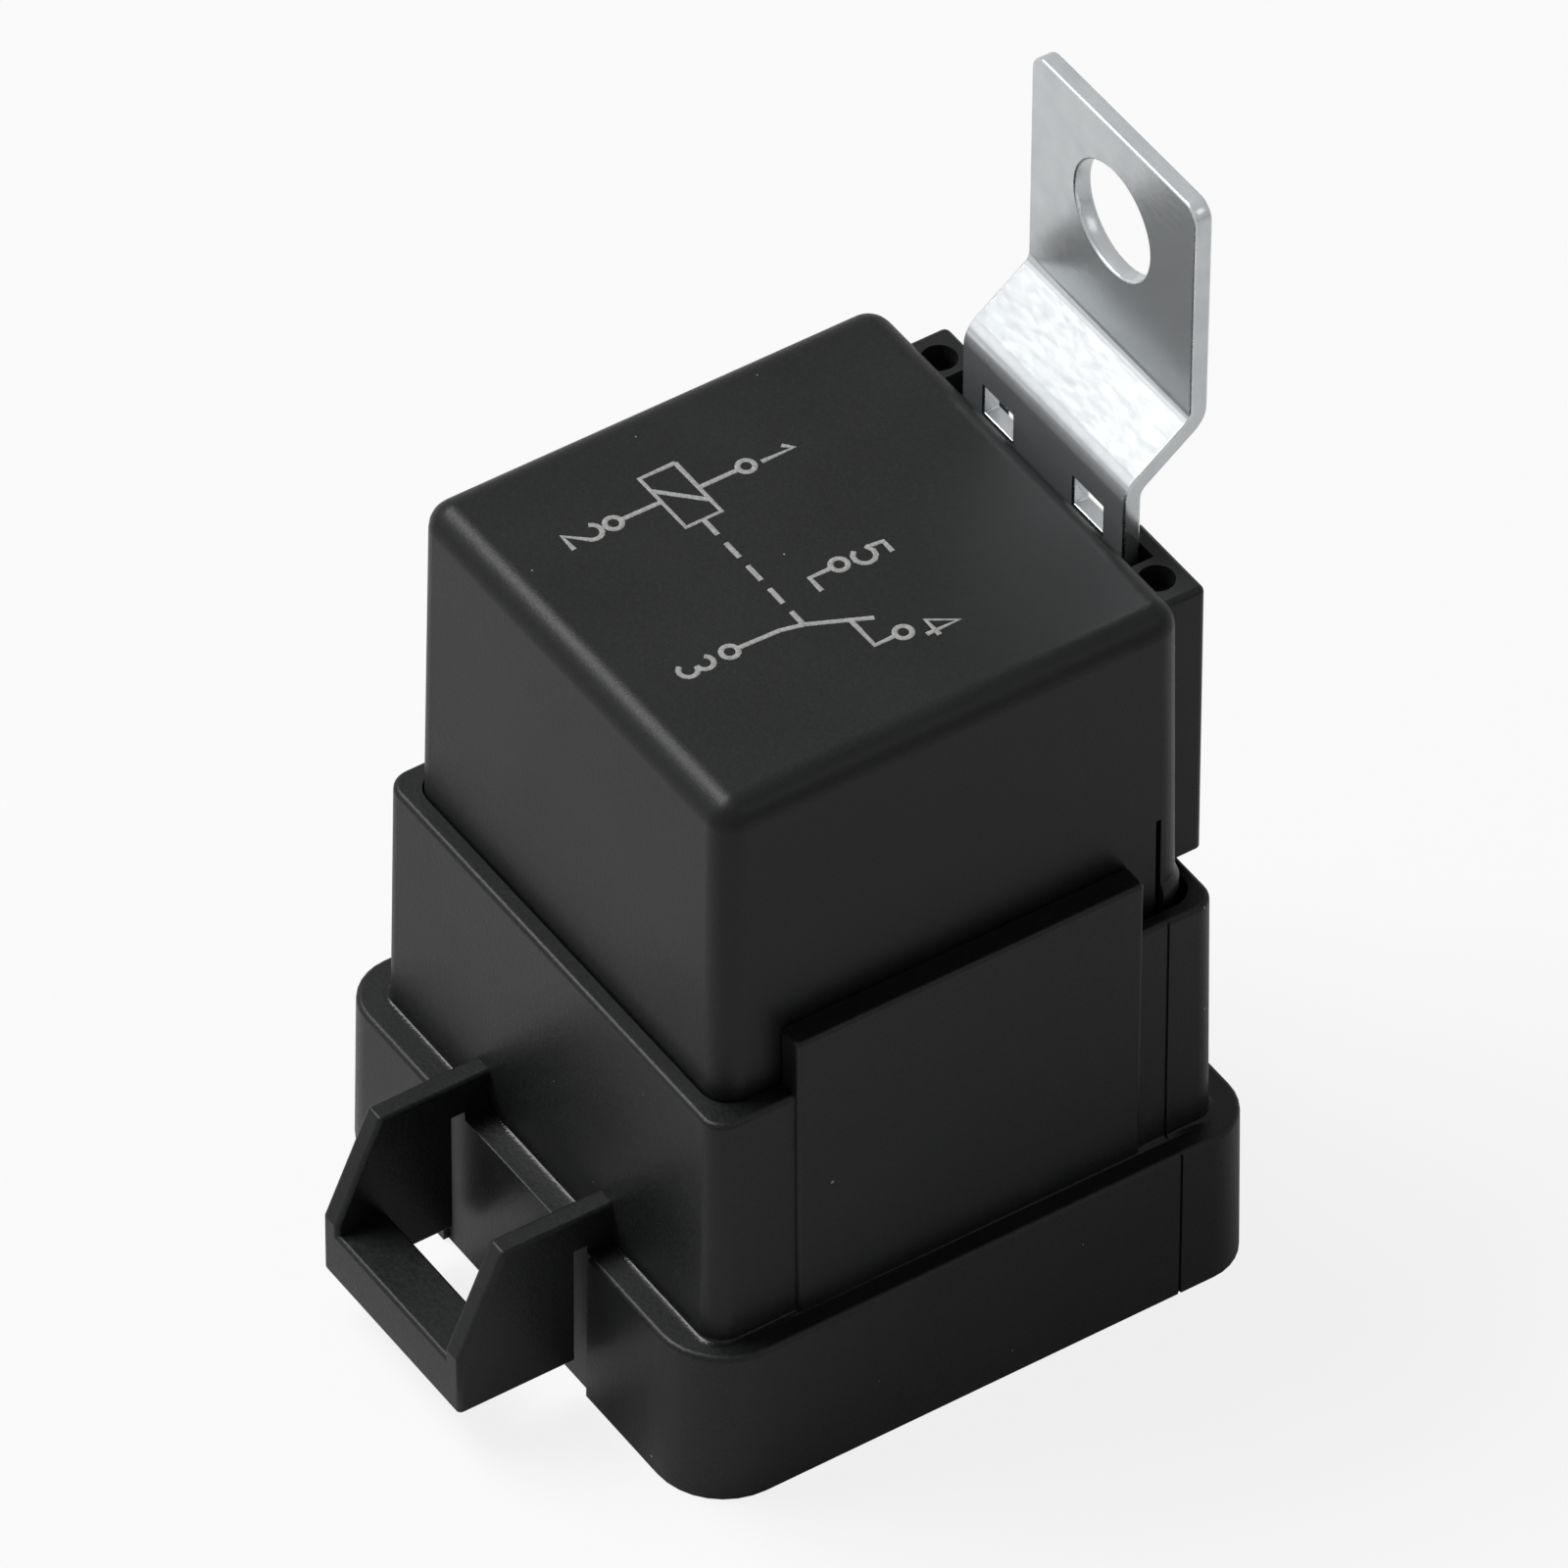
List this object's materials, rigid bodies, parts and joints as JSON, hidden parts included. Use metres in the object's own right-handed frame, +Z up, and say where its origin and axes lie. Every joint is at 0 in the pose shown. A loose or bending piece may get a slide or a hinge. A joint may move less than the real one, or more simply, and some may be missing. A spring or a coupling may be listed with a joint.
{
  "type": "automotive relay",
  "caption": "Sealed changeover mini relay with a plug-in skirt, a latch loop on one side and a bent steel bracket with a screw hole on the other.",
  "frame": {"origin": "centre of the skirt's open rim, on the plane that the relay stands on, on the vertical axis through the middle of the cover", "axes": "+Z up along the cover, away from the connector side; +Y towards the bracket, -Y towards the latch loop; +X towards the raised panel"},
  "size_m": [0.0336, 0.0431, 0.0622],
  "materials": {
    "cover_plastic": "moulded satin black",
    "base_plastic": "moulded satin black",
    "epoxy": "cast, glossy",
    "zinc_steel": "zinc plated",
    "tinned_brass": "tinned",
    "bobbin_plastic": "moulded",
    "enamelled_copper": "enamelled wire",
    "soft_iron": "plated",
    "spring_bronze": "rolled",
    "silver_alloy": "satin",
    "rivet_steel": "plated"
  },
  "bodies": {
    "relay": {"cover": "cover_plastic", "shrouded_base": "base_plastic", "epoxy_seal": "epoxy", "mounting_bracket": "zinc_steel", "terminal_30": "tinned_brass", "terminal_85": "tinned_brass", "terminal_86": "tinned_brass", "terminal_87": "tinned_brass", "terminal_87a": "tinned_brass", "coil_bobbin": "bobbin_plastic", "coil_winding": "enamelled_copper", "core": "soft_iron", "yoke": "soft_iron", "no_contact": "silver_alloy", "nc_contact": "silver_alloy", "spring_yoke_rivets": "rivet_steel", "coil_lead_85": "enamelled_copper", "coil_lead_86": "enamelled_copper"},
    "armature": {"armature": "soft_iron", "contact_spring": "spring_bronze", "moving_contact": "silver_alloy", "spring_armature_rivets": "rivet_steel"}
  },
  "joints": [
    {"name": "armature_hinge", "type": "hinge", "parent": "relay", "child": "armature", "pos_m": [0, -0.0092, 0.03655], "axis": [-1, 0, 0], "range_deg": [0, 2.5], "stiffness_Nm_per_rad": 0.02, "springref_deg": -17.19, "deforming": ["contact_spring"]}
  ]
}
